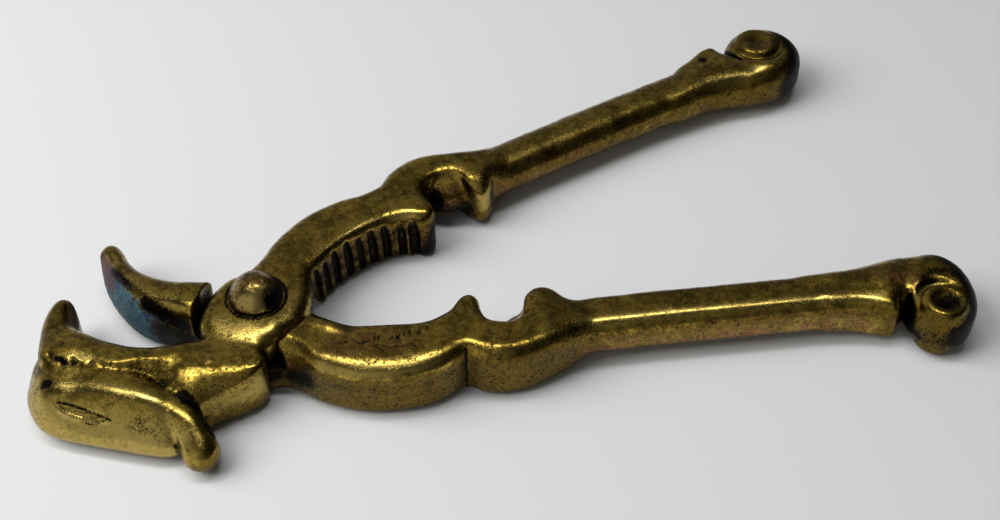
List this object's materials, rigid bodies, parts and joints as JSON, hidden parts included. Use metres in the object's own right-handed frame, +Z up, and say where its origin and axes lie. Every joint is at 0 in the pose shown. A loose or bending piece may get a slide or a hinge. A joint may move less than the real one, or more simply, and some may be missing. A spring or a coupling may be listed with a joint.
{
  "type": "nutcracker tongs",
  "caption": "Cast brass nutcracker tongs: crossed levers on a riveted pivot, hooked front jaws, ribbed nut jaw, round notch and scrolled handle ends.",
  "frame": {"origin": "on the rivet's axis, in the plane of the flat underside the tool lies on", "axes": "+X runs along the tool's middle line from the pivot to the handle ends, +Z is up along the rivet, and +Y is the side of lever_a's handle"},
  "size_m": [0.1794, 0.0961, 0.0176],
  "materials": {
    "lever_brass": "aged and worn",
    "rivet_brass": "hammered and darkened"
  },
  "bodies": {
    "upper_lever": {"lever_a": "lever_brass", "pivot_rivet": "rivet_brass"},
    "lower_lever": {"lever_b": "lever_brass"}
  },
  "joints": [
    {"name": "lever_pivot", "type": "hinge", "parent": "upper_lever", "child": "lower_lever", "pos_m": [0, 0, 0], "axis": [0, 0, 1], "range_deg": [-12, 20]}
  ]
}
